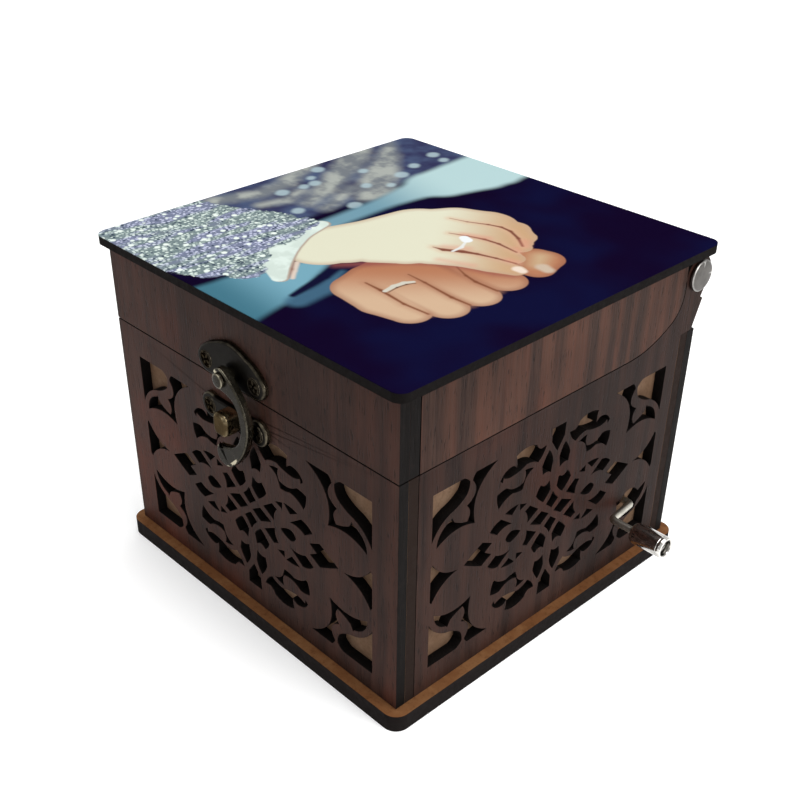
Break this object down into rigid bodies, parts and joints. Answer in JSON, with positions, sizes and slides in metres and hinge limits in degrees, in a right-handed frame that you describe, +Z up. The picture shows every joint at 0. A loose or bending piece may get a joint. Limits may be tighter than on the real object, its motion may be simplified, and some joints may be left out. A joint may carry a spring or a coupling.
{
  "type": "hand crank music box",
  "caption": "Small square music box of dark fretwork boards with a hinged lid, a hook latch, a printed lid sheet and a bent hand crank that turns a comb and drum movement.",
  "frame": {"origin": "middle of the base plate's flat underside", "axes": "+X is the crank side, -Y is the latch side, +Z is up, away from the flat underside"},
  "size_m": [0.1345, 0.1183, 0.096],
  "materials": {
    "burnt_board": "dark stained veneer with a fine grain, satin, with laser-burnt edges",
    "inner_board": "bare tan board, matte",
    "base_board": "orange-brown board with burnt edges, matte",
    "floor_board": "brown board, matte",
    "lid_board": "dark board with burnt edges, satin",
    "printed_sheet": "printed sheet under a thin satin varnish",
    "satin_nickel": "satin nickel plate",
    "dark_bronze": "antique bronze plate, worn bright on its edges",
    "stud_brass": "worn brass",
    "polished_nickel": "polished nickel plate",
    "steel": "ground steel",
    "zinc_casting": "zinc casting, satin",
    "movement_brass": "turned brass, satin"
  },
  "bodies": {
    "box": {"base_plate": "base_board", "front_fret_panel": "burnt_board", "front_inner_panel": "inner_board", "back_fret_panel": "burnt_board", "back_inner_panel": "inner_board", "left_fret_panel": "burnt_board", "left_inner_panel": "inner_board", "right_fret_panel": "burnt_board", "right_inner_panel": "inner_board", "floor_ledges": "inner_board", "storage_floor": "floor_board", "latch_lower_plate": "dark_bronze", "latch_lower_screws": "dark_bronze", "latch_stud": "stud_brass", "bedplate": "zinc_casting", "movement_screws": "steel", "comb_block": "zinc_casting", "comb": "steel", "comb_screws": "steel", "front_bracket": "zinc_casting", "rear_bracket": "zinc_casting", "arbor_bushes": "movement_brass", "crank_brackets": "zinc_casting", "crank_bushes": "movement_brass"},
    "lid": {"lid_plate": "lid_board", "lid_print": "printed_sheet", "lid_front_outer": "burnt_board", "lid_front_inner": "burnt_board", "lid_back_outer": "burnt_board", "lid_back_inner": "burnt_board", "lid_left_outer": "burnt_board", "lid_left_inner": "burnt_board", "lid_right_outer": "burnt_board", "lid_right_inner": "burnt_board", "hinge_pin_left": "satin_nickel", "hinge_pin_right": "satin_nickel", "latch_upper_plate": "dark_bronze", "latch_upper_screws": "dark_bronze", "latch_rivet": "dark_bronze"},
    "hook": {"latch_hook": "dark_bronze"},
    "drum_set": {"drum": "movement_brass", "drum_arbor": "steel", "drum_gear": "movement_brass"},
    "crank_set": {"crank": "polished_nickel", "worm": "steel", "knob_screw": "polished_nickel"},
    "knob": {"crank_knob": "polished_nickel"}
  },
  "joints": [
    {"name": "lid_hinge", "type": "hinge", "parent": "box", "child": "lid", "pos_m": [0, 0.0525, 0.0875], "axis": [-1, 0, 0], "range_deg": [0, 120]},
    {"name": "hook_swing", "type": "hinge", "parent": "lid", "child": "hook", "pos_m": [-0.0025, -0.0581, 0.0756], "axis": [0, -1, 0], "range_deg": [0, 110]},
    {"name": "crank_turn", "type": "hinge", "parent": "box", "child": "crank_set", "pos_m": [0.026, 0.035, 0.024], "axis": [1, 0, 0], "continuous": true},
    {"name": "knob_spin", "type": "hinge", "parent": "crank_set", "child": "knob", "pos_m": [0.07, 0.02207, 0.02663], "axis": [1, 0, 0], "continuous": true},
    {"name": "drum_turn", "type": "hinge", "parent": "box", "child": "drum_set", "pos_m": [0.026, 0.022, 0.016], "axis": [0, 1, 0], "continuous": true}
  ],
  "couplings": [
    {"joint": "crank_turn", "follows": "drum_turn", "ratio": 16}
  ]
}
